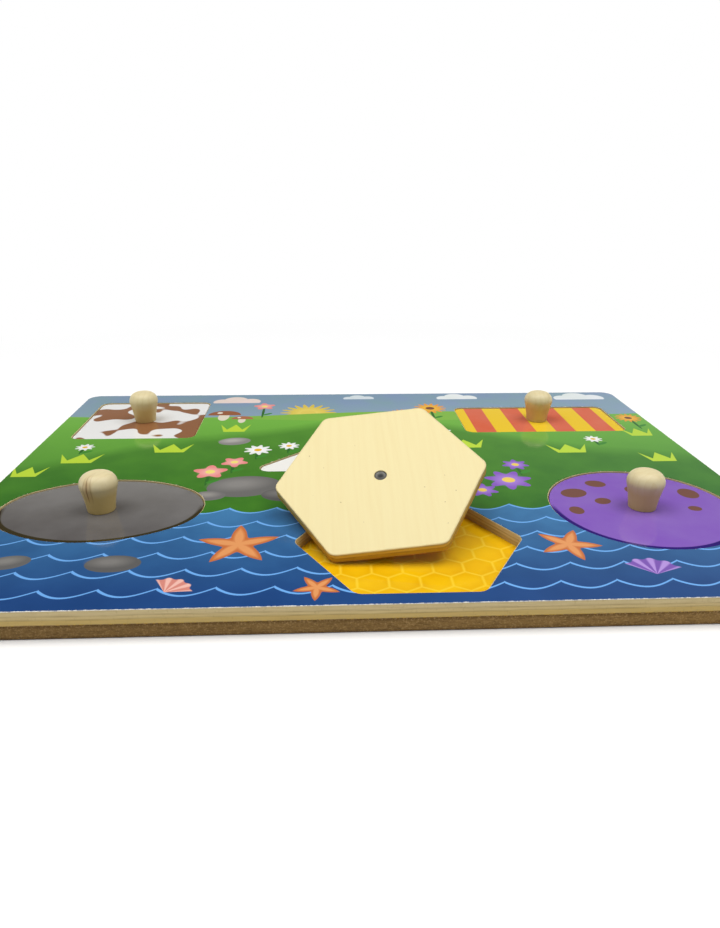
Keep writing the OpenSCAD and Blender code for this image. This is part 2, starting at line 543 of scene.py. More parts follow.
@dataclass(frozen=True)
class SeaStar(Motif):
    """A five-armed star from the beach."""

    radius: float
    colour: str
    light: str
    turn: float = 0.0

    ARMS = 5
    EDGE = 0.5
    # Shares of the radius
    NOTCH = 0.36
    LIGHT_INSET = 0.16
    LIGHT_SOFT = 0.22

    def draw(self, canvas: Canvas) -> None:
        """Paints the star with paler arms inside.

        Args:
            canvas: the drawing that it goes on.
        """
        star = canvas.spikes(self.x, self.y, self.radius, self.ARMS, self.NOTCH, self.turn)
        canvas.lay(star - self.EDGE, self.colour, self.EDGE)
        canvas.lay(star + self.radius * self.LIGHT_INSET, self.light, self.radius * self.LIGHT_SOFT)


@dataclass(frozen=True)
class Tuft(Motif):
    """A tuft of three pointed grass blades on a level foot."""

    width: float = 19.0
    height: float = 11.0

    COLOUR = "#c0dd3a"
    # Height of a blade's point over the notches, and of the notches, as shares of the height
    RISE = 1.4
    FOOT = 0.3
    # How far the sides lean out, and half the foot, as shares of the width
    LEAN = 0.16
    HALF_FOOT = 0.34

    def draw(self, canvas: Canvas) -> None:
        """Paints the blades, the outer ones leaning outwards.

        Args:
            canvas: the drawing that it goes on.
        """
        paint = canvas.paint
        away, up = canvas.x - self.x, canvas.y - self.y
        tooth = paint.math("PINGPONG", paint.math("MULTIPLY_ADD", away, 2 / self.width, 10.5), 0.5)
        top = paint.math("MULTIPLY_ADD", tooth, self.RISE * self.height, self.FOOT * self.height)
        slant = -self.LEAN * self.width / self.height
        lean = paint.math("MULTIPLY_ADD", up, slant, abs(away)) - self.HALF_FOOT * self.width
        canvas.lay(canvas.overlap(canvas.overlap(up - top, -up), lean), self.COLOUR, 0.3)


@dataclass(frozen=True)
class Cloud(Motif):
    """A flat-bottomed cloud."""

    size: float
    colour: str

    # Place and radius of each puff, as shares of the size
    PUFFS = ((-0.9, 0.0, 0.55), (-0.1, 0.3, 0.75), (0.85, 0.05, 0.6))

    def draw(self, canvas: Canvas) -> None:
        """Paints the puffs, cut level below.

        Args:
            canvas: the drawing that it goes on.
        """
        s = self.size
        puffs = canvas.union(*(canvas.disc(self.x + x * s, self.y + y * s, radius * s)
                               for x, y, radius in self.PUFFS))
        canvas.lay(canvas.overlap(puffs, self.y - 0.25 * s - canvas.y), self.colour, 0.6)


@dataclass(frozen=True)
class Toadstool(Motif):
    """A toadstool with a rounded cap."""

    size: float
    cap: str

    STALK_COLOUR = "#e9dfca"
    SPOT_COLOUR = "#f2e9d6"
    # Shares of the size
    STALK_HALVES = (0.32, 0.7)
    CAP_HALVES = (0.95, 0.8)
    CAP_UP = 0.35
    BRIM_UP = 0.3
    SPOT = (-0.3, 0.75, 0.16)

    def draw(self, canvas: Canvas) -> None:
        """Paints the stalk, the cap and a spot of light.

        Args:
            canvas: the drawing that it goes on.
        """
        s = self.size
        width, height = self.STALK_HALVES
        canvas.lay(canvas.egg(self.x, self.y, width * s, height * s), self.STALK_COLOUR)
        width, height = self.CAP_HALVES
        dome = canvas.egg(self.x, self.y + self.CAP_UP * s, width * s, height * s)
        canvas.lay(canvas.overlap(dome, self.y + self.BRIM_UP * s - canvas.y), self.cap)
        aside, up, radius = self.SPOT
        canvas.lay(canvas.disc(self.x + aside * s, self.y + up * s, radius * s), self.SPOT_COLOUR)


@dataclass(frozen=True)
class Shell(Motif):
    """A fan shell with ribs."""

    radius: float
    colour: str
    light: str
    turn: float = 0.0

    RIBS = 12
    RIB_DEPTH = 0.05
    SPREAD = 0.8

    def draw(self, canvas: Canvas) -> None:
        """Paints the fan and its ribs.

        Args:
            canvas: the drawing that it goes on.
        """
        reach, way = canvas.polar(self.x, self.y)
        way = way - math.radians(self.turn)
        rib = canvas.paint.math("COSINE", way * self.RIBS)
        scallop = canvas.paint.math("MULTIPLY_ADD", rib, self.RIB_DEPTH * self.radius, self.radius)
        spread = self.SPREAD * self.radius
        fan = canvas.overlap(reach - scallop, abs(way) * spread - spread)
        stripe = canvas.paint.mix(rib.rise(-0.4, 0.6), tint(self.colour), tint(self.light))
        canvas.lay(fan, stripe, 0.4)


# Finishes


@dataclass(frozen=True)
class Finish:
    """What the surface of a piece looks like."""

    name: str

    def material(self, home: Optional[Matrix] = None) -> bpy.types.Material:
        """Makes the material.

        Args:
            home: where a piece that was drawn about its own middle was put.

        Returns:
            The finished material.
        """
        made = bpy.data.materials.new(self.name)
        made.use_nodes = True
        self.coat(Paint(made.node_tree, home))
        return made

    def coat(self, paint: Paint) -> None:
        """Fills the material's tree; each finish has its own way."""
        raise NotImplementedError


@dataclass(frozen=True)
class Print(Finish):
    """A sheet of printed paper under gloss varnish, white where its cut edge has frayed."""

    ground: str
    paper: str = "#efece4"
    fray: float = 0.25
    # Colour of painted shade along the front edge, standing for the dark gap beside the piece; none if
    # empty
    outline: str = ""
    rear: str = ""
    gloss: float = 0.5

    # Where the paler rear is half way in, and over what distance it comes in
    REAR_FROM = 6
    REAR_FADE = 44.0
    UNEVEN = 0.06
    # The rim mark where the painted shade along the front edge starts, and the places between which it
    # comes in towards the front
    FRONT_SHADE_MARK = 0.1
    FRONT_SHADE_FADE = (4, -16)
    LEAST_FRAY = 0.06
    # Roughness of clean varnish, what smears add to it, and what bare paper adds
    VARNISH = 0.03
    SMEAR = 0.1
    BARE = 0.4
    GRAIN_DEPTH = 0.006

    def draw(self, canvas: Canvas) -> None:
        """Paints the picture; a plain print keeps its ground, a little uneven and paler to the rear.

        Args:
            canvas: the drawing that it goes on.
        """
        if self.rear:
            canvas.lay(self.REAR_FROM - canvas.y, self.rear, self.REAR_FADE)
        cloudy = canvas.noise(0.045, 3.0)
        canvas.lay(0.55 - cloudy, "#ffffff", soft=0.5, strength=self.UNEVEN)

    def coat(self, paint: Paint) -> None:
        """Makes the picture, any painted shade along its front edge, its frayed edge and its varnish.

        Args:
            paint: the paint of the material.
        """
        canvas = Canvas(paint, self.ground)
        self.draw(canvas)
        rim = paint.rim()
        # Painted shade: a dark band inside the front edge that fades out towards the rear, standing for the
        # dark gap
        if self.outline:
            canvas.lay(self.FRONT_SHADE_MARK - rim * canvas.y.rise(*self.FRONT_SHADE_FADE), self.outline)
        grit = canvas.noise(0.8, 3.0, 0.7)
        worn_depth = paint.math("MULTIPLY_ADD", grit.rise(0.45, 0.8), self.fray, self.LEAST_FRAY)
        frayed = paint.math("MULTIPLY_ADD", rim - 1, RIM_WIDTH, worn_depth).rise(0.0, 0.1)
        colour = paint.mix(frayed, canvas.colour, tint(self.paper))
        smears = canvas.noise(0.03, 4.0, 0.6)
        roughness = paint.math("MULTIPLY_ADD", smears, self.SMEAR, self.VARNISH) + frayed * self.BARE
        grain = canvas.noise(1.6, 2.0)
        paint.surface(colour, roughness, grain, self.GRAIN_DEPTH, Specular_IOR_Level=self.gloss)


@dataclass(frozen=True)
class Picture(Print):
    """The board's picture: sky, hills, a meadow and the sea, with flowers, stones and shells."""

    shore: float = -43.0
    wave_length: float = 17.8
    wave_height: float = 4.3
    wave_rows: float = 11.4
    wave_margin: float = 1.4
    row_shift: float = 0.37

    def draw(self, canvas: Canvas) -> None:
        """Paints the picture from the sky down to the sea, then a pale painted light over its right side
        and painted shade over its left.

        Args:
            canvas: the drawing that it goes on.
        """
        self.draw_sky(canvas)
        self.draw_meadow(canvas)
        self.draw_sea(canvas)
        # Painted light: a pale veil of painted light over the right-hand side, and painted shade over the
        # left-hand side
        canvas.lay(60 - canvas.x, "#a9bcc6", soft=180.0, strength=0.06)
        canvas.lay(canvas.x + 40, "#10222a", soft=160.0, strength=0.1)

    def draw_sky(self, canvas: Canvas) -> None:
        """Paints the sky with its clouds and a low sun.

        Args:
            canvas: the drawing that it goes on.
        """
        canvas.colour = canvas.paint.mix(canvas.y.rise(66, 111), tint("#8fa6bd"), tint("#7891b1"))
        for motif in (
            Cloud(x=-66, y=97, size=9, colour="#f3dcd6"),
            Cloud(x=58, y=101, size=8, colour="#f1f3f6"),
            Cloud(x=128, y=99, size=10, colour="#eef1f5"),
            Cloud(x=2, y=102, size=6, colour="#dfe6f0"),
            Bloom(x=-26, y=76, radius=15, colour="#e0c24a", glow="#f0d868", heart="#e9cf5e", petals=18),
        ):
            motif.draw(canvas)

    def draw_meadow(self, canvas: Canvas) -> None:
        """Paints two hills, the meadow, and what grows and lies on it.

        Args:
            canvas: the drawing that it goes on.
        """
        paint, x, y = canvas.paint, canvas.x, canvas.y
        far = self.ridge(paint, x * 0.026 + 0.9, height=4.0, level=73.0)
        canvas.lay(y - far, "#84b944", 0.5)
        near = self.ridge(paint, x * 0.019 - 2.0, height=5.0, level=66.0)
        deep = paint.mix(y.rise(-45, 60), tint("#37731e"), tint("#73b541"))
        canvas.lay(y - near, deep, 0.5)
        edge = paint.math("MULTIPLY_ADD", abs(x), -0.45, 68.0)
        swell = self.ridge(paint, x * 0.05, height=4.0, level=edge)
        canvas.lay(y - swell, "#2c6614", soft=12.0, strength=0.6)
        mottle = canvas.noise(0.06, 3.0)
        canvas.lay((0.6 - mottle) * 20, "#70b632", soft=10.0, strength=0.22)
        purple = {"colour": "#8a5cc0", "glow": "#a984d8", "heart": "#f0d060"}
        pink = {"colour": "#ee8d8a", "glow": "#f7b4aa", "heart": "#f6e27a"}
        gold = {"colour": "#ec9a2c", "glow": "#f4c03a", "heart": "#7a4424"}
        white = {"colour": "#eef0ec", "glow": "#ffffff", "heart": "#e8b830"}
        for motif in (
            Tuft(x=-126, y=6), Tuft(x=-88, y=18), Tuft(x=-143, y=-9, width=15), Tuft(x=96, y=12),
            Tuft(x=134, y=0, width=16), Tuft(x=49, y=20),
            Tuft(x=-62, y=46, width=15), Tuft(x=138, y=34, width=15),
            Stone(x=-50, y=-22, half_length=15, half_width=10.5, colour="#6d6b68", light="#8b8884", turn=8),
            Stone(x=-34, y=-31, half_length=8.5, half_width=6, colour="#5d5b59", light="#7b7976", turn=-6),
            Stone(x=-63, y=-31, half_length=6.5, half_width=4.5, colour="#747170", light="#96928c"),
            Stone(x=-60, y=32, half_length=7.5, half_width=5, colour="#8d8a86", light="#b4b0aa", turn=10),
            Bloom(x=-66, y=-6, radius=7.5, petals=5, turn=20, stem=15, **pink),
            Bloom(x=-57, y=5, radius=6.0, petals=5, turn=-12, stem=13, **pink),
            Bloom(x=59, y=-19, radius=10.0, petals=7, turn=10, **purple),
            Bloom(x=46, y=-29, radius=6.5, petals=7, turn=30, **purple),
            Bloom(x=66, y=-2, radius=6.0, petals=7, turn=-15, stem=12, **purple),
            Bloom(x=-48, y=20, radius=6.5, petals=9, stem=12, **white),
            Bloom(x=-34, y=25, radius=5.0, petals=9, turn=15, stem=10, **white),
            Bloom(x=40, y=44, radius=5.5, petals=9, turn=10, stem=11, **white),
            Bloom(x=40, y=82, radius=9.0, petals=14, stem=22, **gold),
            Bloom(x=24, y=74, radius=6.5, petals=14, turn=9, stem=16, **gold),
            Bloom(x=142, y=62, radius=7.0, petals=14, turn=5, stem=18, **gold),
            Toadstool(x=-70, y=70, size=9, cap="#9a5c38"),
            Toadstool(x=-60, y=64, size=6, cap="#b0704a"),
            Bloom(x=-50, y=88, radius=6.0, petals=5, turn=25, stem=20, **pink),
            Bloom(x=-128, y=26, radius=4.5, petals=9, turn=8, stem=9, **white),
            Bloom(x=112, y=30, radius=4.5, petals=9, turn=3, stem=9, **white),
        ):
            motif.draw(canvas)

    def draw_sea(self, canvas: Canvas) -> None:
        """Paints the sea with rows of pointed waves, and what lies in it.

        Args:
            canvas: the drawing that it goes on.
        """
        paint, x, y = canvas.paint, canvas.x, canvas.y
        first = self.wave_line(paint, paint.math("FRACT", x / self.wave_length))
        water = paint.mix(y.rise(-104, self.shore), tint("#1e4782"), tint("#427eae"))
        canvas.lay(y + first - self.shore, water)
        mottle = canvas.noise(0.05, 3.0)
        deep = canvas.overlap((mottle - 0.44) * 20, y - self.shore + 6)
        canvas.lay(deep, "#0e3368", soft=8.0, strength=0.4)
        depth = (self.shore + self.wave_margin - y) / self.wave_rows
        row = paint.math("FLOOR", depth)
        fall = (depth - row) * self.wave_rows
        phase = paint.math("FRACT", paint.math("MULTIPLY_ADD", row, self.row_shift, x / self.wave_length))
        line = abs(fall - self.wave_line(paint, phase) - self.wave_margin)
        half_width = paint.math("MULTIPLY_ADD", (1 - phase) ** 3.0, 0.38, 0.36)
        waves = canvas.overlap(line - half_width, -0.2 - row)
        canvas.lay(waves, "#72b0f2", 0.3)
        orange = {"colour": "#c8703a", "light": "#e59a5e"}
        for motif in (
            SeaStar(x=-47, y=-72, radius=14, turn=20, **orange),
            SeaStar(x=66, y=-76, radius=11, turn=-8, **orange),
            SeaStar(x=-20, y=-101, radius=7, turn=50, **orange),
            Stone(x=-86, y=-84, half_length=9, half_width=5.5, colour="#5f5d5b", light="#7f7c78"),
            Stone(x=-120, y=-82, half_length=7, half_width=4.5, colour="#676563", light="#86837e", turn=12),
            Shell(x=88, y=-97, radius=10, turn=80, colour="#7d54b0", light="#b592dc"),
            Shell(x=125, y=-94, radius=7, turn=110, colour="#d98a7c", light="#f4beb0"),
            Shell(x=-66, y=-102, radius=8, turn=60, colour="#d98a7c", light="#f4beb0"),
        ):
            motif.draw(canvas)

    def ridge(self, paint: Paint, way: Sock, height: float, level: Number) -> Sock:
        """The height of a rolling line across the picture, about a level."""
        return paint.math("MULTIPLY_ADD", paint.math("SINE", way), height, level)

    def wave_line(self, paint: Paint, phase: Sock) -> Sock:
        """How far the line of a wave hangs below its crest, at a share of its length."""
        return paint.math("SINE", phase ** 0.88 * math.pi) * self.wave_height


@dataclass(frozen=True)
class Spotted(Print):
    """A print with round spots of several sizes."""

    spot: str = "#775044"

    # Middle, half length, half width and turn of each spot
    SPOTS = ((-22, 14, 5.5, 4.2, 20), (-10, 23, 4.2, 3.4, -10), (3, 16, 3.2, 3.8), (-13, 6, 3.4, 2.8, 30),
             (14, 25, 5.0, 3.6, -20), (24, 12, 4.0, 4.8), (-26, -2, 2.8, 3.4), (20, -2, 2.6, 2.2))

    def draw(self, canvas: Canvas) -> None:
        """Paints the spots in two loose rows."""
        super().draw(canvas)
        canvas.lay(canvas.union(*(canvas.egg(*spot) for spot in self.SPOTS)), self.spot)


@dataclass(frozen=True)
class Striped(Print):
    """A print with upright stripes."""

    stripe: str = "#f2cb2c"
    pitch: float = 20.0

    # Where along the row of stripes the print's middle lies
    PHASE = 200.0

    def draw(self, canvas: Canvas) -> None:
        """Paints the stripes.

        Args:
            canvas: the drawing that it goes on.
        """
        super().draw(canvas)
        wave = canvas.paint.math("PINGPONG", canvas.x + self.PHASE, self.pitch / 2)
        canvas.lay(wave - self.pitch / 4, self.stripe, 0.3)


@dataclass(frozen=True)
class Patched(Print):
    """A print with large uneven patches."""

    patch: str = "#8f5f3c"

    def draw(self, canvas: Canvas) -> None:
        """Paints the patches.

        Args:
            canvas: the drawing that it goes on.
        """
        super().draw(canvas)
        blot = canvas.noise(0.05, 1.0)
        canvas.lay((0.53 - blot) * 30, self.patch, 0.5)


@dataclass(frozen=True)
class Chevrons(Print):
    """A print with angled bands that leave the corners plain."""

    band: str = "#5a5a5e"
    pitch: float = 10.0
    half_band: float = 2.0
    reach: float = 17.5

    SLOPE = 0.6
    # Where along the row of bands the print's middle lies
    PHASE = 200.0

    def draw(self, canvas: Canvas) -> None:
        """Paints the bands about the middle.

        Args:
            canvas: the drawing that it goes on.
        """
        super().draw(canvas)
        rise = canvas.y + abs(canvas.x) * self.SLOPE
        wave = canvas.paint.math("PINGPONG", rise + self.PHASE, self.pitch / 2)
        canvas.lay(canvas.overlap(wave - self.half_band, canvas.disc(0, 0, self.reach)), self.band, 0.3)


@dataclass(frozen=True)
class Celled(Print):
    """A print with a pattern of six-sided cells."""

    wall: str = "#8f5a2c"
    flats: float = 15.0

    def draw(self, canvas: Canvas) -> None:
        """Paints the walls of the cells."""
        super().draw(canvas)
        canvas.lay(canvas.cells(self.flats) - 0.9, self.wall, 0.3)


@dataclass(frozen=True)
class RecessFloor(Print):
    """The sheet below the recesses: a honeycomb at the front, and a plain pattern in each other place."""

    flats: float = 10.3
    patch_radius: float = 50.0

    def draw(self, canvas: Canvas) -> None:
        """Paints the honeycomb, then one pattern for each of the other recesses.

        Args:
            canvas: the drawing that it goes on.
        """
        paint, x, y = canvas.paint, canvas.x, canvas.y
        amber = canvas.noise(0.09, 2.0)
        canvas.colour = paint.mix(amber.rise(0.3, 0.7), tint("#e2a806"), tint("#f0be0c"))
        wall = canvas.cells(self.flats, (0.2, 0.1))
        canvas.lay(1.6 - wall, "#f3c012", 3.0, 0.5)
        canvas.lay(wall - 0.3, "#f8d53a", 0.9, 0.85)
        across = paint.math("PINGPONG", x + 300.0, 6.0)
        along = paint.math("PINGPONG", y + 300.0, 6.0)
        ripple = paint.math("PINGPONG", paint.vector("DISTANCE", canvas.at, (104.3, -46.0, 0)), 5.0)
        bands = paint.math("PINGPONG", y + abs(x + 4.0) * 0.6 + 300.0, 5.0)
        for place, base, figure, mark in (
            ((-101.6, -41.0), "#9cc98a", canvas.overlap(across - 3.0, along - 3.0), "#dcebc4"),
            ((104.3, -46.0), "#7fb6d8", ripple - 1.2, "#d5ebf5"),
            ((-109.6, 67.2), "#8fc0a0", (across - 3.0) * (along - 3.0), "#e4f0dc"),
            ((93.3, 62.2), "#e9c46c", across - 3.0, "#f6e6b0"),
            ((-4.0, 18.7), "#8cc4b4", bands - 2.0, "#dff0e6"),
        ):
            patch = canvas.disc(*place, self.patch_radius)
            canvas.lay(patch, base)
            canvas.lay(canvas.overlap(patch, figure), mark, 0.3)


@dataclass(frozen=True)
class Plywood(Finish):
    """Plywood with plain sanded faces, and layers with glue lines on its sawn sides."""

    low: float
    thickness: float
    layers: tuple[str, ...]
    joints: tuple[float, ...]
    face: str
    face_streak: str
    glue: str
    glue_strength: float = 0.45
    speck: str = "#8d6a3a"

    # How far the layers sway and how softly they meet, as shares of the thickness
    SWAY = 0.09
    MEET = 0.06
    FIBRE_STRENGTH = 0.22
    PORE_STRENGTH = 0.2
    STREAK_STRENGTH = 0.4
    SPECK_STRENGTH = 0.6
    FACE_ROUGHNESS = 0.55
    SIDE_ROUGHNESS = 0.2
    TOOTH = 0.12
    SHEEN = 0.25

    def coat(self, paint: Paint) -> None:
        """Makes the sides by height, the faces with their grain, and both rough.

        Args:
            paint: the paint of the material.
        """
        sway = paint.noise((0.03, 0.03, 0.03), 3.0)
        _, _, z = paint.split(paint.place())
        share = (z - self.low) / self.thickness + (sway - 0.5) * self.SWAY
        colour: Any = tint(self.layers[0])
        for joint, layer in zip(self.joints, self.layers[1:]):
            colour = paint.mix(share.rise(joint - self.MEET, joint + self.MEET), colour, tint(layer))
        fibre = paint.noise((0.09, 0.09, 1.8), 4.0, 0.6)
        for joint in self.joints:
            line = abs(share - joint).rise(0.1, 0.01) * fibre.rise(0.3, 0.6)
            colour = paint.mix(line * self.glue_strength, colour, tint(self.glue))
        colour = paint.mix(fibre.rise(0.4, 0.75) * self.FIBRE_STRENGTH, colour, tint(self.glue))
        pores = paint.noise((1.5, 1.5, 0.7), 2.0)
        colour = paint.mix(pores.rise(0.6, 0.75) * self.PORE_STRENGTH, colour, tint(self.glue))
        grain = paint.noise((0.5, 0.02, 0.5), 5.0, 0.6)
        streaks = grain.rise(0.42, 0.78) * self.STREAK_STRENGTH
        flat: Any = paint.mix(streaks, tint(self.face), tint(self.face_streak))
        specks = paint.noise((0.55, 0.4, 0.5), 1.0)
        flat = paint.mix(specks.rise(0.782, 0.8) * self.SPECK_STRENGTH, flat, tint(self.speck))
        side = paint.side()
        colour = paint.mix(side, flat, colour)
        tooth = paint.math("MULTIPLY_ADD", fibre, side, grain * 0.4)
        roughness = side * self.SIDE_ROUGHNESS + self.FACE_ROUGHNESS
        paint.surface(colour, roughness, tooth, self.TOOTH, Specular_IOR_Level=self.SHEEN)


@dataclass(frozen=True)
class Fibreboard(Finish):
    """Raw fibreboard: fine pressed fibres, denser and darker towards its faces."""

    thickness: float
    core: str = "#8a6c3c"
    skin: str = "#5d4420"
    fleck: str = "#b08f5c"
    face: str = "#7d6038"
    face_fibre: str = "#97784c"
    shade: str = "#3d2a10"

    # The places between which painted shade darkens the board towards the left, and how much
    SHADE_SPAN = (90, -130)
    SHADE_STRENGTH = 0.3
    FLECK_STRENGTH = 0.75
    SHRED_STRENGTH = 0.7
    ROUGHNESS = 0.78
    TOOTH = 0.22
    SHEEN = 0.2

    def coat(self, paint: Paint) -> None:
        """Makes the flecks, the darker skins, painted shade towards the left and the dusty surface.

        Args:
            paint: the paint of the material.
        """
        x, _, z = paint.split(paint.place())
        centre = abs(z / self.thickness - 0.5)
        colour: Any = paint.mix(centre.rise(0.25, 0.5), tint(self.core), tint(self.skin))
        dust = paint.noise((1.7, 1.7, 1.7), 4.0, 0.75)
        colour = paint.mix(dust.rise(0.5, 0.62) * self.FLECK_STRENGTH, colour, tint(self.fleck))
        shreds = paint.noise((0.5, 0.5, 2.2), 3.0, 0.7)
        colour = paint.mix(shreds.rise(0.5, 0.66) * self.SHRED_STRENGTH, colour, tint(self.skin))
        # Painted shade: the board darkens towards the left
        colour = paint.mix(x.rise(*self.SHADE_SPAN) * self.SHADE_STRENGTH, colour, tint(self.shade))
        side = paint.side()
        fibres = paint.noise((0.7, 0.25, 1), 4.0, 0.7)
        flat = paint.mix(fibres.rise(0.35, 0.7), tint(self.face), tint(self.face_fibre))
        colour = paint.mix(side, flat, colour)
        tooth = dust * 0.6 + shreds * 0.4
        paint.surface(colour, self.ROUGHNESS, tooth, self.TOOTH, Specular_IOR_Level=self.SHEEN)


@dataclass(frozen=True)
class TurnedWood(Finish):
    """Pale turned wood with year rings, fine pores and a thin lacquer."""

    seed: float
    streak: float = 0.0
    pale: str = "#e0d1a4"
    ring: str = "#d2ba80"
    # The flank colour is the wood's yellow darkened by painted shade; the paler top above it is a painted
    # highlight
    flank: str = "#cbad61"
    brown: str = "#8a5f2c"
    stain: str = "#b9935a"

    # How far outside the peg the tree's middle lies, and how many years go to a millimetre
    PITH = 11.0
    YEARS = 0.42
    YEAR_WARP = 2.6
    YEAR_STRENGTH = 0.3
    FIBRE_STRENGTH = 0.12
    PORE_STRENGTH = 0.12
    # Heights between which the head's top, kept pale as a painted highlight, turns into the flank colour,
    # the wood's own yellow darkened by painted shade
    PAINTED_LIGHT_SPAN = (18.5, 13.0)
    PAINTED_LIGHT_STRENGTH = 0.8
    LACQUER = 0.34
    TOOTH = 0.03
    # The split's direction in radians and its height
    SPLIT_WAY = 1.72
    SPLIT_HEIGHT = 14.4

    def coat(self, paint: Paint) -> None:
        """Makes rings round a pith outside the peg, with streaks along the grain, and a painted highlight
        on the head's top over painted shade down the flank.

        Args:
            paint: the paint of the material.
        """
        shift = (self.seed * 17.3, self.seed * 9.1, self.seed * 41.7)
        warp = paint.noise((0.14, 0.14, 0.035), 2.0, shift=shift)
        pith = (self.PITH * math.cos(self.seed * 2.4), self.PITH * math.sin(self.seed * 2.4), 0.0)
        reach = paint.vector("DISTANCE", paint.place((1, 1, 0)), pith)
        year = paint.math("FRACT", paint.math("MULTIPLY_ADD", warp, self.YEAR_WARP, reach * self.YEARS))
        colour: Any = paint.mix(year ** 3.0 * self.YEAR_STRENGTH, tint(self.pale), tint(self.ring))
        fibre = paint.noise((1.6, 1.6, 0.07), 4.0, 0.65, shift=shift)
        colour = paint.mix(fibre.rise(0.45, 0.75) * self.FIBRE_STRENGTH, colour, tint(self.ring))
        pores = paint.noise((2.6, 2.6, 0.22), 1.0, shift=shift)
        colour = paint.mix(pores.rise(0.68, 0.78) * self.PORE_STRENGTH, colour, tint(self.brown))
        _, _, z = paint.split(paint.place())
        # Painted light: the top keeps the pale wood as a painted highlight, and lower down the flank colour
        # comes in as painted shade
        flank = (z + warp * 4.0).rise(*self.PAINTED_LIGHT_SPAN) * self.PAINTED_LIGHT_STRENGTH
        colour = paint.mix(flank, colour, tint(self.flank))
        if self.streak:
            colour = self.split_grain(paint, colour, warp)
        roughness = fibre * 0.2 + self.LACQUER
        paint.surface(colour, roughness, fibre * 0.7 + pores * 0.3, self.TOOTH, Specular_IOR_Level=0.5)

    def split_grain(self, paint: Paint, colour: Any, warp: Sock) -> Sock:
        """Adds a brown patch with a few dark cracks on the front of the peg, left of its middle.

        Args:
            paint: the peg's paint.
            colour: the colour so far.
            warp: a slow noise that bends the cracks.

        Returns:
            The colour with the patch.
        """
        x, y, z = paint.split(paint.place())
        way = paint.math("ARCTAN2", y, x) + warp * 0.5
        level = abs(z - self.SPLIT_HEIGHT)
        patch = abs(way + self.SPLIT_WAY).rise(0.34, 0.1) * level.rise(5.6, 2.5)
        crack = paint.math("PINGPONG", way + 7.0, 0.12).rise(0.05, 0.015)
        colour = paint.mix(patch * (0.5 * self.streak), colour, tint(self.stain))
        return paint.mix(crack * patch * self.streak, colour, tint(self.brown))


@dataclass(frozen=True)
class NailSteel(Finish):
    """Dull drawn steel, darker in the head's dish and at its edge than on the ring between."""

    colour: str = "#6e6d67"
    dark: str = "#1c1e22"

    DISH_STRENGTH = 0.85
    EDGE_STRENGTH = 0.7
    ROUGHNESS = 0.35
    MOTTLED_ROUGHNESS = 0.3
    TOOTH = 0.02
    METAL = 0.6

    def coat(self, paint: Paint) -> None:
        """Makes steel with fine turning marks, a dark dish and a dark edge.

        Args:
            paint: the paint of the material.
        """
        reach = paint.vector("LENGTH", paint.place((1, 1, 0)))
        mottling = paint.noise((1.3, 1.3, 1.3), 3.0, 0.7)
        # The head is darker in its dish and at its outer edge, with mottled borders
        dish = (reach + mottling * 0.6).rise(1.9, 0.9)
        edge = (reach + mottling * 0.5).rise(1.9, 2.4)
        dark_dish_and_edge = paint.math("MAXIMUM", dish * self.DISH_STRENGTH, edge * self.EDGE_STRENGTH)
        colour = paint.mix(dark_dish_and_edge, tint(self.colour), tint(self.dark))
        marks = paint.noise((3, 3, 3), 2.0)
        roughness = paint.math("MULTIPLY_ADD", mottling, self.MOTTLED_ROUGHNESS, self.ROUGHNESS)
        paint.surface(colour, roughness, marks, self.TOOTH, Metallic=self.METAL)


@dataclass(frozen=True)
class FloorWhite(Finish):
    """A pale matt floor that keeps the shadow and runs out into plain white."""

    grey: float = 0.95
    run_out: Point = (190, 420)

    def coat(self, paint: Paint) -> None:
        """Mixes the matt floor into white by how far away it lies and how it is seen.

        Args:
            paint: the paint of the material.
        """
        reach = paint.vector("LENGTH", paint.place((1, 1, 0)))
        colour = (self.grey, self.grey, self.grey, 1)
        matt = paint.sock(paint.node("ShaderNodeBsdfDiffuse", sockets={"Color": colour}))
        white = paint.sock(paint.node("ShaderNodeEmission", sockets={"Strength": 1.0}))
        share = reach.rise(*self.run_out) * paint.math("MAXIMUM", *paint.seen())
        mixed = paint.sock(paint.node("ShaderNodeMixShader", sockets={0: share, 1: matt, 2: white}))
        paint.node("ShaderNodeOutputMaterial", sockets={"Surface": mixed})


# Meshes


def arc(centre: Point, radius: float, start: float, end: float, steps: int) -> Loop:
    """Points along an arc, both ends included, with its angles in radians."""
    angles = (start + (end - start) * step / steps for step in range(steps + 1))
    return [(centre[0] + radius * math.cos(a), centre[1] + radius * math.sin(a)) for a in angles]


def rounded(centres: Sequence[Point], radius: float, steps: int = 10) -> Loop:
    """A loop with straight sides and corners rounded about the given centres.

    Args:
        centres: the corners' centres, counted round to the left.
        radius: the corners' radius.
        steps: how many short sides make a corner.

    Returns:
        The loop's points, counted round to the left.
    """
    loop: Loop = []
    for here, centre in enumerate(centres):
        before, after = centres[here - 1], centres[(here + 1) % len(centres)]
        start = math.atan2(centre[1] - before[1], centre[0] - before[0]) - math.pi / 2
        end = math.atan2(after[1] - centre[1], after[0] - centre[0]) - math.pi / 2
        loop += arc(centre, radius, start, end if end > start else end + 2 * math.pi, steps)
    return loop


def circle(radius: float, steps: int) -> Loop:
    """Points round the middle, counted to the left; a few of them make a regular polygon."""
    return arc((0, 0), radius, 0, 2 * math.pi * (1 - 1 / steps), steps - 1)


def box_corners(length: float, width: float) -> list[Point]:
    """Corners of a rectangle about the middle, counted round from the front left."""
    x, y = length / 2, width / 2
    return [(-x, -y), (x, -y), (x, y), (-x, y)]


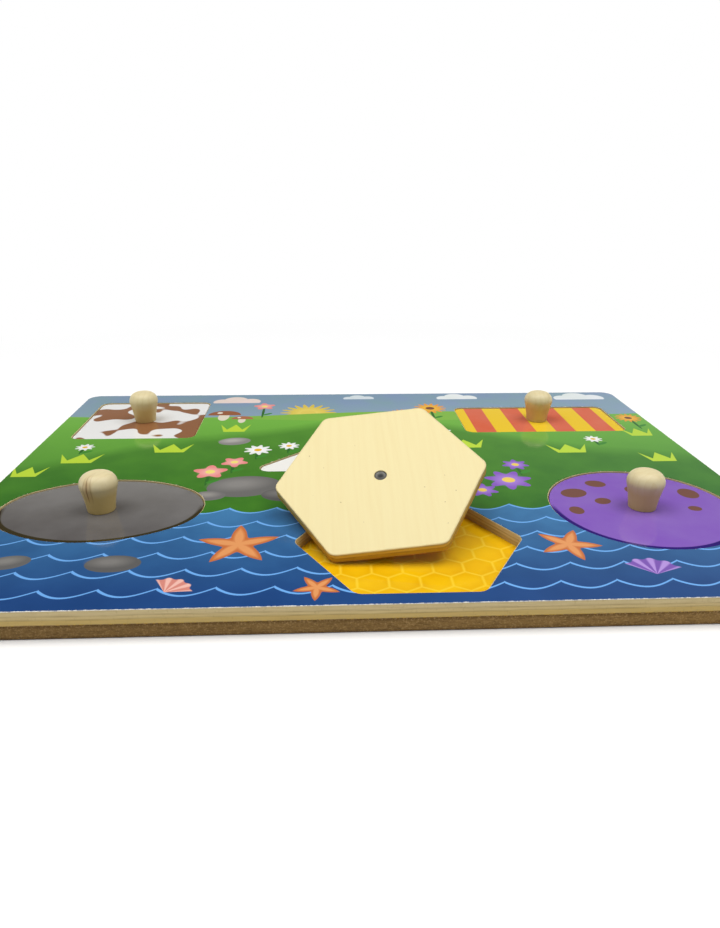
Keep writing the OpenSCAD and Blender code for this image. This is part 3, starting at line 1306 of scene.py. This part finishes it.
def grown(loop: Loop, amount: float) -> Loop:
    """Moves a loop outwards all round, or inwards where it is counted round to the right.

    Args:
        loop: the loop.
        amount: how far its sides move.

    Returns:
        The moved loop, point for point.
    """
    least_spread = 0.3
    moved: Loop = []
    for here, (x, y) in enumerate(loop):
        before, after = loop[here - 1], loop[(here + 1) % len(loop)]
        into, out = Vector((x - before[0], y - before[1])), Vector((after[0] - x, after[1] - y))
        into.normalize()
        out.normalize()
        normal = Vector((into.y + out.y, -into.x - out.x)).normalized()
        reach = amount / max(least_spread, normal.dot(Vector((out.y, -out.x))))
        moved.append((x + normal.x * reach, y + normal.y * reach))
    return moved


@dataclass(frozen=True)
class Ring:
    """One level loop of a wall; rim is 1 on sides and edges and 0 on a face."""

    loop: Loop
    z: float
    rim: float


def eased_wall(loop: Loop, low: float, high: float, ease_low: float, ease_high: float,
               mark: float = 1.0) -> list[Ring]:
    """A wall round a sheet or a hole, with both its edges rounded off.

    Args:
        loop: the outline, to the left round a sheet and to the right round a hole.
        low: the lower face's height.
        high: the upper face's height.
        ease_low: radius of the lower edge.
        ease_high: radius of the upper edge.
        mark: the rim mark of the wall itself.

    Returns:
        The wall's rings from the lower face to the upper one.
    """
    turns = [math.pi / 2 * step / EASE_STEPS for step in range(EASE_STEPS + 1)]
    rings = [Ring(grown(loop, -ease_low - RIM_WIDTH), low, 0.0)]
    for turn in turns:
        inset, rise = ease_low * (1 - math.sin(turn)), ease_low * (1 - math.cos(turn))
        rings.append(Ring(grown(loop, -inset), low + rise, mark))
    for turn in turns:
        inset, drop = ease_high * (1 - math.cos(turn)), ease_high * (1 - math.sin(turn))
        rings.append(Ring(grown(loop, -inset), high - drop, mark))
    rings.append(Ring(grown(loop, -ease_high - RIM_WIDTH), high, 0.0))
    return rings


def bore_wall(profile: Sequence[Point], mark: float = 1.0, steps: int = 40) -> list[Ring]:
    """The wall of a round hole with its rim mark, from its radius and height at each step upwards."""
    around = arc((0, 0), 1.0, 2 * math.pi, 2 * math.pi / steps, steps - 1)
    return [Ring([(x * radius, y * radius) for x, y in around], z, mark) for radius, z in profile]


def inside(point: Point, loops: Sequence[Loop]) -> bool:
    """Tells whether a point lies in the sheet between loops, by counting the sides to one hand of it.

    Args:
        point: the point.
        loops: the outline and the holes.

    Returns:
        True inside the outline and outside the holes.
    """
    crossings = 0
    for loop in loops:
        for (ax, ay), (bx, by) in zip(loop, loop[1:] + loop[:1]):
            if (ay > point[1]) != (by > point[1]):
                crossings += point[0] < ax + (point[1] - ay) / (by - ay) * (bx - ax)
    return crossings % 2 == 1


def cap(loops: Sequence[Loop]) -> list[tuple[int, int, int]]:
    """Fills the flat sheet between loops.

    Args:
        loops: the outline and the holes.

    Returns:
        Triangles that face up, by the points' numbers counted through all the loops.
    """
    same_point = 1e-5
    points, sides, start = [], [], 0
    for loop in loops:
        points += [Vector(point) for point in loop]
        sides += [(start + step, start + (step + 1) % len(loop)) for step in range(len(loop))]
        start += len(loop)
    found, _, faces, origins, _, _ = delaunay_2d_cdt(points, sides, [], 0, same_point)
    kept = []
    for face in faces:
        centre = sum((found[corner] for corner in face), Vector((0, 0))) / len(face)
        if inside((centre.x, centre.y), loops):
            kept.append(tuple(origins[corner][0] for corner in face))
    return kept


def new_object(name: str, vertices: Sequence[Sequence[float]], faces: Sequence[Sequence[int]],
               rims: Optional[Sequence[float]] = None) -> bpy.types.Object:
    """Makes a smooth mesh object from millimetres.

    Args:
        name: the piece's name.
        vertices: its points.
        faces: its faces, counted round to the left as seen from outside.
        rims: each point's rim mark.

    Returns:
        The object, linked to the scene.
    """
    mesh = bpy.data.meshes.new(name)
    mesh.from_pydata([[part * MM for part in vertex] for vertex in vertices], [], faces)
    if rims is not None:
        mesh.attributes.new("rim", "FLOAT", "POINT").data.foreach_set("value", rims)
    mesh.validate()
    mesh.shade_smooth()
    mesh.set_sharp_from_angle(angle=math.radians(SMOOTH_ANGLE))
    made = bpy.data.objects.new(name, mesh)
    bpy.context.scene.collection.objects.link(made)
    weighted = made.modifiers.new("even_faces", "WEIGHTED_NORMAL")
    weighted.keep_sharp = True
    return made


def sheet(name: str, walls: Sequence[Sequence[Ring]]) -> bpy.types.Object:
    """Makes a flat piece from its outer wall and the walls of its holes.

    Args:
        name: the piece's name.
        walls: for each wall its rings from the lower face to the upper one.

    Returns:
        The closed mesh object.
    """
    vertices: list[tuple[float, float, float]] = []
    rims: list[float] = []
    faces: list[tuple[int, ...]] = []
    lowest: list[int] = []
    highest: list[int] = []
    for wall in walls:
        count = len(wall[0].loop)
        for level, ring in enumerate(wall):
            start = len(vertices)
            vertices += [(x, y, ring.z) for x, y in ring.loop]
            rims += [ring.rim] * count
            if level:
                for step in range(count):
                    after = (step + 1) % count
                    faces.append((start - count + step, start - count + after, start + after, start + step))
        lowest += range(len(vertices) - count * len(wall), len(vertices) - count * (len(wall) - 1))
        highest += range(len(vertices) - count, len(vertices))
    below, above = cap([wall[0].loop for wall in walls]), cap([wall[-1].loop for wall in walls])
    faces += [tuple(lowest[corner] for corner in reversed(face)) for face in below]
    faces += [tuple(highest[corner] for corner in face) for face in above]
    return new_object(name, vertices, faces, rims)


def lathe(name: str, profile: Sequence[Point], steps: int = 64) -> bpy.types.Object:
    """Makes a turned piece.

    Args:
        name: the piece's name.
        profile: radius and height of each point, from the axis below to the axis above.
        steps: how many sides go round.

    Returns:
        The closed mesh object.
    """
    vertices: list[tuple[float, float, float]] = [(0.0, 0.0, profile[0][1])]
    for radius, z in profile[1:-1]:
        vertices += [(x, y, z) for x, y in circle(radius, steps)]
    vertices.append((0.0, 0.0, profile[-1][1]))
    faces: list[tuple[int, ...]] = []
    for step in range(steps):
        after = (step + 1) % steps
        faces.append((0, 1 + after, 1 + step))
        for level in range(len(profile) - 3):
            low, high = 1 + level * steps, 1 + (level + 1) * steps
            faces.append((low + step, low + after, high + after, high + step))
        last = 1 + (len(profile) - 3) * steps
        faces.append((last + step, last + after, len(vertices) - 1))
    return new_object(name, vertices, faces)


def middle(node: str) -> Vector:
    """The middle of a node's box at rest, in metres."""
    low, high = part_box(node)
    return (low + high) / 2


def dress(made: bpy.types.Object, material: bpy.types.Material, body: str, node: str) -> None:
    """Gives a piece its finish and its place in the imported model.

    Args:
        made: the piece, where it rests.
        material: its finish.
        body: the body that it rides on.
        node: the node that it stands for.
    """
    made.data.materials.append(material)
    bpy.context.view_layer.update()
    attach(made, body)
    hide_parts(node)
    LOG.info("%s stands for %s and rides on %s", made.name, node, body)


# Sub-assemblies


@dataclass(frozen=True)
class Outline:
    """A shape's plan about its own middle."""

    shape: Shape
    length: float
    width: float
    corner_radius: float = 4.0

    CIRCLE_STEPS = 144
    END_STEPS = 40
    FLANK_STEPS = 32

    def loop(self, grow: float = 0.0) -> Loop:
        """Draws the plan.

        Args:
            grow: how far it is grown all round, as for its recess.

        Returns:
            Its points, counted round to the left.
        """
        radius = self.corner_radius + grow
        if self.shape is Shape.OVAL:
            return self.oval(grow)
        if self.shape is Shape.CIRCLE:
            return circle(self.length / 2 + grow, self.CIRCLE_STEPS)
        if self.shape is Shape.HEXAGON:
            return rounded(circle((self.width / 2 - self.corner_radius) / math.cos(math.pi / 6), 6), radius)
        if self.shape is Shape.TRIANGLE:
            return rounded(self.triangle(), radius)
        inset = 2 * self.corner_radius
        return rounded(box_corners(self.length - inset, self.width - inset), radius)

    def triangle(self) -> list[Point]:
        """Sets out an even-sided triangle about the middle of its inner circle.

        Returns:
            The centres of its rounded corners.
        """
        inner = self.length * self.width / (self.length + 2 * math.hypot(self.length / 2, self.width))
        share = 1 - self.corner_radius / inner
        corners = ((-self.length / 2, -inner), (self.length / 2, -inner), (0.0, self.width - inner))
        return [(x * share, y * share) for x, y in corners]

    def oval(self, grow: float) -> Loop:
        """Draws an oval of four arcs: two at its ends and two flatter ones along its sides.

        Args:
            grow: how far it is grown all round.

        Returns:
            Its points, counted round to the left.
        """
        end_x = self.length / 2 - self.corner_radius
        step = self.width / 2 - self.corner_radius
        side_y = (end_x ** 2 - step ** 2) / (2 * step)
        side_r = side_y + self.width / 2 + grow
        meet = math.atan2(side_y, end_x)
        end_r = self.corner_radius + grow
        return (arc((end_x, 0), end_r, -meet, meet, self.END_STEPS)[:-1]
                + arc((0, -side_y), side_r, meet, math.pi - meet, self.FLANK_STEPS)[:-1]
                + arc((-end_x, 0), end_r, math.pi - meet, math.pi + meet, self.END_STEPS)[:-1]
                + arc((0, side_y), side_r, math.pi + meet, 2 * math.pi - meet, self.FLANK_STEPS)[:-1])


OUTLINES = {
    Shape.OVAL: Outline(Shape.OVAL, 75.6, 54.4, 21.5),
    Shape.CIRCLE: Outline(Shape.CIRCLE, 69.2, 69.2),
    Shape.HEXAGON: Outline(Shape.HEXAGON, 68.2, 68.2),
    Shape.SQUARE: Outline(Shape.SQUARE, 58.0, 58.0),
    Shape.RECTANGLE: Outline(Shape.RECTANGLE, 80.0, 40.0),
    Shape.TRIANGLE: Outline(Shape.TRIANGLE, 93.0, 46.5),
}


@dataclass
class Board:
    """The board: fibreboard backing, floor sheet, plywood frame and picture, glued in a stack."""

    corner_radius: float = 6.5
    seat_gap: float = 0.4
    hexagon_recess: Point = (11.7, -70.5)
    corner_steps: int = 12
    backing_ease: Point = (0.5, 0.1)
    floor_ease: Point = (0.05, 0.05)
    frame_ease: Point = (0.1, 0.08)
    picture_ease: Point = (0.04, 0.06)
    picture_set_back: float = 0.25
    picture_hole_mark: float = 0.92

    def outline(self, node: str) -> tuple[Loop, float, float]:
        """A layer's outline and its lower and upper heights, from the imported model.

        Args:
            node: the layer's node.

        Returns:
            The outline, the lower height and the upper height.
        """
        low, high = (corner * PER_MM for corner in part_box(node))
        inset = 2 * self.corner_radius
        corners = box_corners(high.x - low.x - inset, high.y - low.y - inset)
        return rounded(corners, self.corner_radius, self.corner_steps), low.z, high.z

    def recess(self, shape: Shape, set_back: float) -> Loop:
        """Draws a recess as a hole.

        Args:
            shape: whose recess it is.
            set_back: how much wider than the seat it is all round.

        Returns:
            Its points, counted round to the right.
        """
        if shape is Shape.HEXAGON:
            x, y = self.hexagon_recess
        else:
            x, y, _ = middle(f"{shape.value}_peg") * PER_MM
        return [(x + px, y + py) for px, py in reversed(OUTLINES[shape].loop(self.seat_gap + set_back))]

    def layer(self, name: str, node: str, ease: Point, cut: bool, set_back: float = 0.0,
              hole_mark: float = 1.0) -> bpy.types.Object:
        """Makes one layer of the stack.

        Args:
            name: the piece's name.
            node: the layer's node.
            ease: radius of its lower edges and of its upper ones.
            cut: whether the six recesses go through it.
            set_back: how far its edge lies back from each recess.
            hole_mark: the rim mark of the recesses' walls.

        Returns:
            The layer's object.
        """
        outline, low, high = self.outline(node)
        walls = [eased_wall(outline, low, high, *ease)]
        if cut:
            walls += [eased_wall(self.recess(shape, set_back), low, high, *ease, hole_mark)
                      for shape in Shape]
        return sheet(name, walls)

    def build(self) -> None:
        """Makes and dresses the four layers."""
        backing = self.layer("board_backing", "backing_board", self.backing_ease, False)
        fibres = Fibreboard("fibreboard", thickness=4.7)
        dress(backing, fibres.material(), "board", "backing_board")
        floor = self.layer("board_floor_print", "floor_sheet", self.floor_ease, False)
        dress(floor, RecessFloor("floor_print", "#f0b800", paper="#a98a55", gloss=0.32).material(),
              "board", "floor_sheet")
        plies = Plywood("frame_plywood", low=4.9, thickness=4.6, layers=("#c8ad6a", "#d0bb86", "#d0bd8e"),
                        joints=(0.36, 0.62), face="#e4d3a8", face_streak="#d3ba83", glue="#8a7142")
        wood = self.layer("board_frame", "frame_board", self.frame_ease, True)
        dress(wood, plies.material(), "board", "frame_board")
        picture = self.layer("board_picture", "picture_sheet", self.picture_ease, True,
                             self.picture_set_back, self.picture_hole_mark)
        dress(picture, Picture("picture_print", "#7e93b3", fray=0.35, gloss=0.32).material(),
              "board", "picture_sheet")


@dataclass
class Piece:
    """One piece of the puzzle: plywood plate, printed face, turned peg and the nail that joins them."""

    shape: Shape
    print_finish: Print
    seed: float
    streak: float = 0.0
    plate_t: float = 4.0
    sheet_t: float = 0.2
    bore_r: float = 1.25
    seat_r: float = 2.3
    seat_depth: float = 1.05
    peg_h: float = 15.1
    peg_foot_r: float = 5.1
    peg_head_r: float = 7.0
    peg_round_r: float = 4.4
    nail_sink: float = 0.15
    nail_r: float = 1.2
    nail_head_r: float = 2.25
    nail_l: float = 12.0
    nail_room: float = 0.05
    nail_neck: float = 0.05
    nail_point: float = 2.2
    nail_tip_r: float = 0.25
    nail_tip_l: float = 0.1
    plate_ease: Point = (0.45, 0.05)
    face_ease: Point = (0.04, 0.08)
    face_mark: float = 0.9
    seat_ease: float = 0.12
    # Plain strips round the hole's two ends
    back_strip: float = 0.3
    front_strip: float = 0.2
    peg_waist: float = 0.25
    peg_crown: float = 0.0264

    # The hexagon's turns about the three axes, in degrees
    LEAN = (24.5, -6.7, -1.4)
    # Steps out from the foot's radius and up from its face
    FOOT_EDGE = ((-0.35, 0.0), (-0.1, 0.1), (0.05, 0.4))
    WAIST_STEPS = (0.3, 0.6, 0.85)
    ROUND_STEPS = 14
    ROUND_END = math.pi * 0.47
    CROWN_STEPS = (0.7, 0.4)
    # Shares of the nail head's radius and heights over its lowest ring
    NAIL_HEAD = ((0.0, 0.22), (0.35, 0.2), (0.62, 0.12), (0.74, 0.04), (0.82, 0.0), (0.93, 0.03),
                 (1.0, 0.15), (1.0, 0.85))
    NAIL_SIDES = 48

    def pose(self) -> Matrix:
        """Tells where the piece rests; the hexagon leans upside down.

        Returns:
            The place of the piece as drawn, back down about its own middle.
        """
        turn = Matrix.Identity(3)
        if self.shape is Shape.HEXAGON:
            lean = Euler([math.radians(angle) for angle in self.LEAN]).to_matrix()
            turn = lean @ Matrix.Rotation(math.pi, 3, "X")
        place = middle(f"{self.shape.value}_plate")
        if self.shape is Shape.TRIANGLE:
            place.y = middle(f"{self.shape.value}_peg").y
        back = place - turn @ Vector((0, 0, self.plate_t / 2 * MM))
        return Matrix.Translation(back) @ turn.to_4x4()

    def plate(self) -> bpy.types.Object:
        """Makes the plate, with a seat for the nail's head in its back.

        Returns:
            The closed mesh object.
        """
        outline = eased_wall(OUTLINES[self.shape].loop(), 0, self.plate_t, *self.plate_ease)
        back = bore_wall([(self.seat_r + self.back_strip, 0)], 0.0)
        seat = bore_wall([(self.seat_r + self.seat_ease, 0), (self.seat_r, self.seat_ease),
                          (self.seat_r, self.seat_depth), (self.bore_r, self.seat_depth),
                          (self.bore_r, self.plate_t)])
        front = bore_wall([(self.bore_r + self.front_strip, self.plate_t)], 0.0)
        return sheet(f"{self.shape.value}_plywood", [outline, back + seat + front])

    def face(self) -> bpy.types.Object:
        """Makes the printed sheet on the plate.

        Returns:
            The closed mesh object.
        """
        top = self.plate_t + self.sheet_t
        loop = OUTLINES[self.shape].loop()
        outline = eased_wall(loop, self.plate_t, top, *self.face_ease, self.face_mark)
        hole = bore_wall([(self.bore_r, self.plate_t), (self.bore_r, top)], 0.0)
        return sheet(f"{self.shape.value}_face", [outline, hole])

    def peg(self) -> bpy.types.Object:
        """Makes the turned peg, bored from below.

        Returns:
            The closed mesh object.
        """
        foot = self.plate_t + self.sheet_t
        bore_top = self.nail_sink + self.nail_l + self.nail_room
        centre = (self.peg_head_r - self.peg_round_r, self.peg_h - self.peg_round_r)
        flank = (self.peg_foot_r - centre[0], -centre[1])
        meet = math.atan2(flank[1], flank[0]) + math.acos(self.peg_round_r / math.hypot(*flank))
        head = arc(centre, self.peg_round_r, meet, self.ROUND_END, self.ROUND_STEPS)
        profile = [(0, bore_top), (self.bore_r, bore_top), (self.bore_r, foot)]
        profile += [(self.peg_foot_r + out, foot + up) for out, up in self.FOOT_EDGE]
        for share in self.WAIST_STEPS:
            radius = self.peg_foot_r + (head[0][0] - self.peg_foot_r) * share
            profile.append((radius - self.peg_waist * math.sin(math.pi * share), foot + head[0][1] * share))
        profile += [(x, foot + z) for x, z in head]
        profile += [(centre[0] * share, foot + self.peg_h - self.peg_crown * share ** 2)
                    for share in self.CROWN_STEPS]
        profile.append((0, foot + self.peg_h))
        return lathe(f"{self.shape.value}_knob", profile)

    def nail(self) -> bpy.types.Object:
        """Makes the nail, with a dished head in the plate's back.

        Returns:
            The closed mesh object.
        """
        sink, head = self.nail_sink, self.nail_head_r
        tip = sink + self.nail_l
        profile = [(head * share, sink + rise) for share, rise in self.NAIL_HEAD]
        profile += [(head - self.nail_neck, self.seat_depth), (self.nail_r, self.seat_depth),
                    (self.nail_r, tip - self.nail_point), (self.nail_tip_r, tip - self.nail_tip_l),
                    (0, tip)]
        return lathe(f"{self.shape.value}_nail_steel", profile, self.NAIL_SIDES)

    def build(self) -> None:
        """Makes, places and dresses the four parts of the piece."""
        name, home = self.shape.value, self.pose()
        plies = Plywood(f"{name}_plate_plywood", low=0.0, thickness=self.plate_t,
                        layers=("#ecdca6", "#dcc06a", "#c4a240"), joints=(0.14, 0.52), face="#eedfaa",
                        face_streak="#e7d296", glue="#7d5a20", glue_strength=0.6)
        for made, finish, part, slot in (
            (self.plate(), plies, "plate", "plate_plywood"),
            (self.face(), self.print_finish, "print", f"{name}_print"),
            (self.peg(), TurnedWood(f"{name}_peg_wood", self.seed, self.streak), "peg", "peg_wood"),
            (self.nail(), NailSteel(f"{name}_nail_steel"), "nail", "nail_steel"),
        ):
            made.data.transform(home)
            dress(made, finish.material(home), f"{name}_piece", f"{name}_{part}")


@dataclass
class Studio:
    """Soft light from above, a white floor and backdrop, and the camera."""

    lamp_power: float = 7.2
    lamp_size: float = 0.9
    lamp_places: tuple[tuple[float, float, float], ...] = ((-0.45, -0.06, 1.1), (0.45, -0.06, 1.1))
    fill: float = 0.32
    # Heights on the surround between which gloss sees it go dim, and by how much
    dim_span: Point = (0.2, 0.29)
    dim: float = 0.9
    floor_size: float = 6.0
    floor_drop: float = 0.05
    camera_place: tuple[float, float, float] = (-16.41, -292.47, 126.05)
    pitch: float = 21.61
    yaw: float = 2.82
    roll: float = 0.34
    focal_pixels: float = 721.4
    frame_pixels: float = 928.0
    sensor: float = 36.0

    def build(self) -> None:
        """Makes the lights, the floor and the camera."""
        scene = bpy.context.scene
        scene.view_settings.view_transform = "Standard"
        self.backdrop(scene)
        self.floor()
        for number, place in enumerate(self.lamp_places):
            self.lamp(f"lamp_{number}", Vector(place))
        self.camera(scene)

    def backdrop(self, scene: bpy.types.Scene) -> None:
        """Makes a white world that is dim higher up where gloss shows it, and fills the shadows.

        Args:
            scene: the scene that it surrounds.
        """
        world = bpy.data.worlds.new("studio")
        world.use_nodes = True
        scene.world = world
        paint = Paint(world.node_tree)
        _, _, height = paint.split(paint.sock(paint.node("ShaderNodeTexCoord"), "Generated"))
        shown = paint.math("MULTIPLY_ADD", height.rise(*self.dim_span), -self.dim, 1.0)
        straight, mirrored = paint.seen()
        level = paint.math("MULTIPLY_ADD", mirrored, shown - self.fill, self.fill)
        level = paint.math("MULTIPLY_ADD", straight, 1 - level, level)
        light = paint.sock(paint.node("ShaderNodeBackground", sockets={
            "Color": (1, 1, 1, 1), "Strength": level}))
        paint.node("ShaderNodeOutputWorld", sockets={"Surface": light})

    def floor(self) -> None:
        """Lays the floor just below the board."""
        size = self.floor_size / MM
        corners = [(x, y, -self.floor_drop) for x, y in box_corners(size, size)]
        made = new_object("floor", corners, [(0, 1, 2, 3)])
        made.data.materials.append(FloorWhite("floor_white").material())

    def lamp(self, name: str, place: Vector) -> None:
        """Hangs a large soft lamp that looks at the board from above and from one side.

        Args:
            name: the lamp's name.
            place: where it hangs, in metres.
        """
        data = bpy.data.lights.new(name, "AREA")
        data.energy = self.lamp_power
        data.shape = "DISK"
        data.size = self.lamp_size
        made = bpy.data.objects.new(name, data)
        made.location = place
        made.rotation_euler = (-place).to_track_quat("-Z", "Y").to_euler()
        bpy.context.scene.collection.objects.link(made)

    def camera(self, scene: bpy.types.Scene) -> None:
        """Puts the camera at the photograph's place, angle and length.

        Args:
            scene: the scene that it looks at.
        """
        pitch, yaw, roll = (math.radians(angle) for angle in (self.pitch, self.yaw, self.roll))
        ahead = Vector((math.sin(yaw) * math.cos(pitch), math.cos(yaw) * math.cos(pitch), -math.sin(pitch)))
        level = Vector((math.cos(yaw), -math.sin(yaw), 0))
        right = level * math.cos(roll) + level.cross(ahead) * math.sin(roll)
        above = right.cross(ahead)
        data = bpy.data.cameras.new("camera")
        data.sensor_width = self.sensor
        data.lens = self.focal_pixels / self.frame_pixels * self.sensor
        data.clip_start = 0.01
        made = bpy.data.objects.new("camera", data)
        axes = Matrix((right, above, -ahead)).transposed()
        made.matrix_world = Matrix.Translation(Vector(self.camera_place) * MM) @ axes.to_4x4()
        scene.collection.objects.link(made)
        scene.camera = made


def main() -> None:
    """Builds the studio, the board and the six pieces."""
    logging.basicConfig(level=logging.INFO, format="%(message)s")
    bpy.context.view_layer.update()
    Studio().build()
    Board().build()
    # The outline colour given to the oval is painted shade along its front edge
    grey = Print("oval_print", "#565250", outline="#332a0c", rear="#777470")
    for piece in (
        Piece(Shape.OVAL, grey, seed=1.0, streak=0.9),
        # The outline colour given to the circle is painted shade along its front edge
        Piece(Shape.CIRCLE, Spotted("circle_print", "#8258ba", outline="#2c1470"), seed=2.0),
        Piece(Shape.HEXAGON, Celled("hexagon_print", "#d98f48"), seed=3.0),
        Piece(Shape.SQUARE, Patched("square_print", "#ecebe8"), seed=4.0),
        Piece(Shape.RECTANGLE, Striped("rectangle_print", "#dc6440"), seed=5.0),
        Piece(Shape.TRIANGLE, Chevrons("triangle_print", "#f2f0ea"), seed=6.0),
    ):
        piece.build()


if __name__ == "__main__":
    main()
